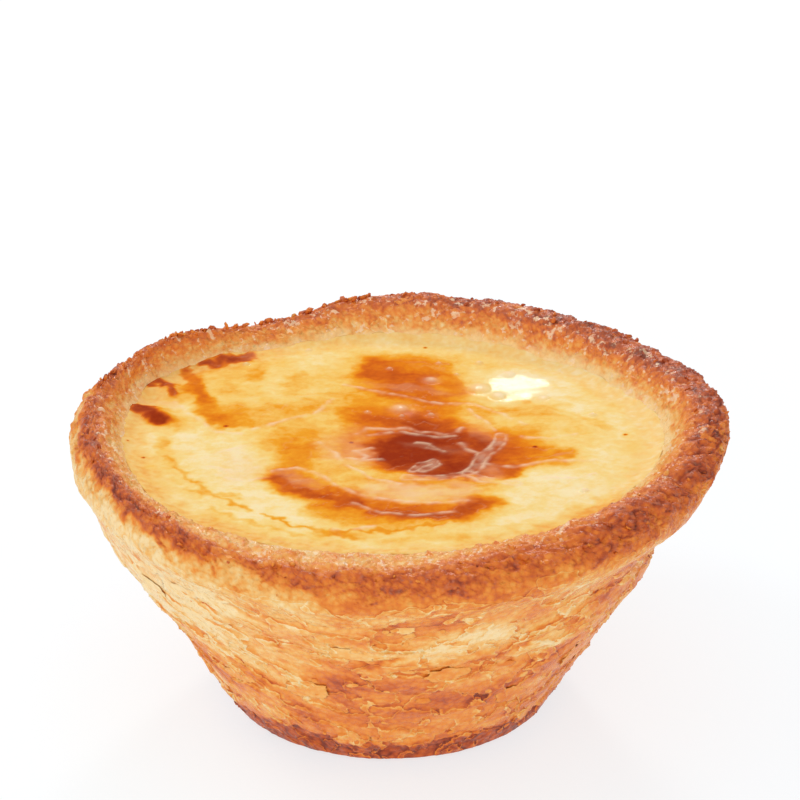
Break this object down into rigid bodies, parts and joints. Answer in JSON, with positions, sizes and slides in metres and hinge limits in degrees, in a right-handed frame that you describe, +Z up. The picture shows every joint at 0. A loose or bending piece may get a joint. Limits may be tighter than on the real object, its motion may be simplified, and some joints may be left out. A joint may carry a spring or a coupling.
{
  "type": "egg tart",
  "caption": "Round egg tart: a flaky pastry case with a flat foot, slanting wall and rolled rim, filled with browned baked custard.",
  "frame": {"origin": "middle of the tart's bounding box, on the plane of its flat base", "axes": "+Z up through the filling, -Y towards the side with the lower rim, +X to the right of that side"},
  "size_m": [0.0701, 0.07, 0.0333],
  "materials": {
    "baked_pastry": "matte",
    "baked_custard": "satin"
  },
  "bodies": {
    "root": {"pastry_case": "baked_pastry", "custard": "baked_custard"}
  },
  "joints": []
}
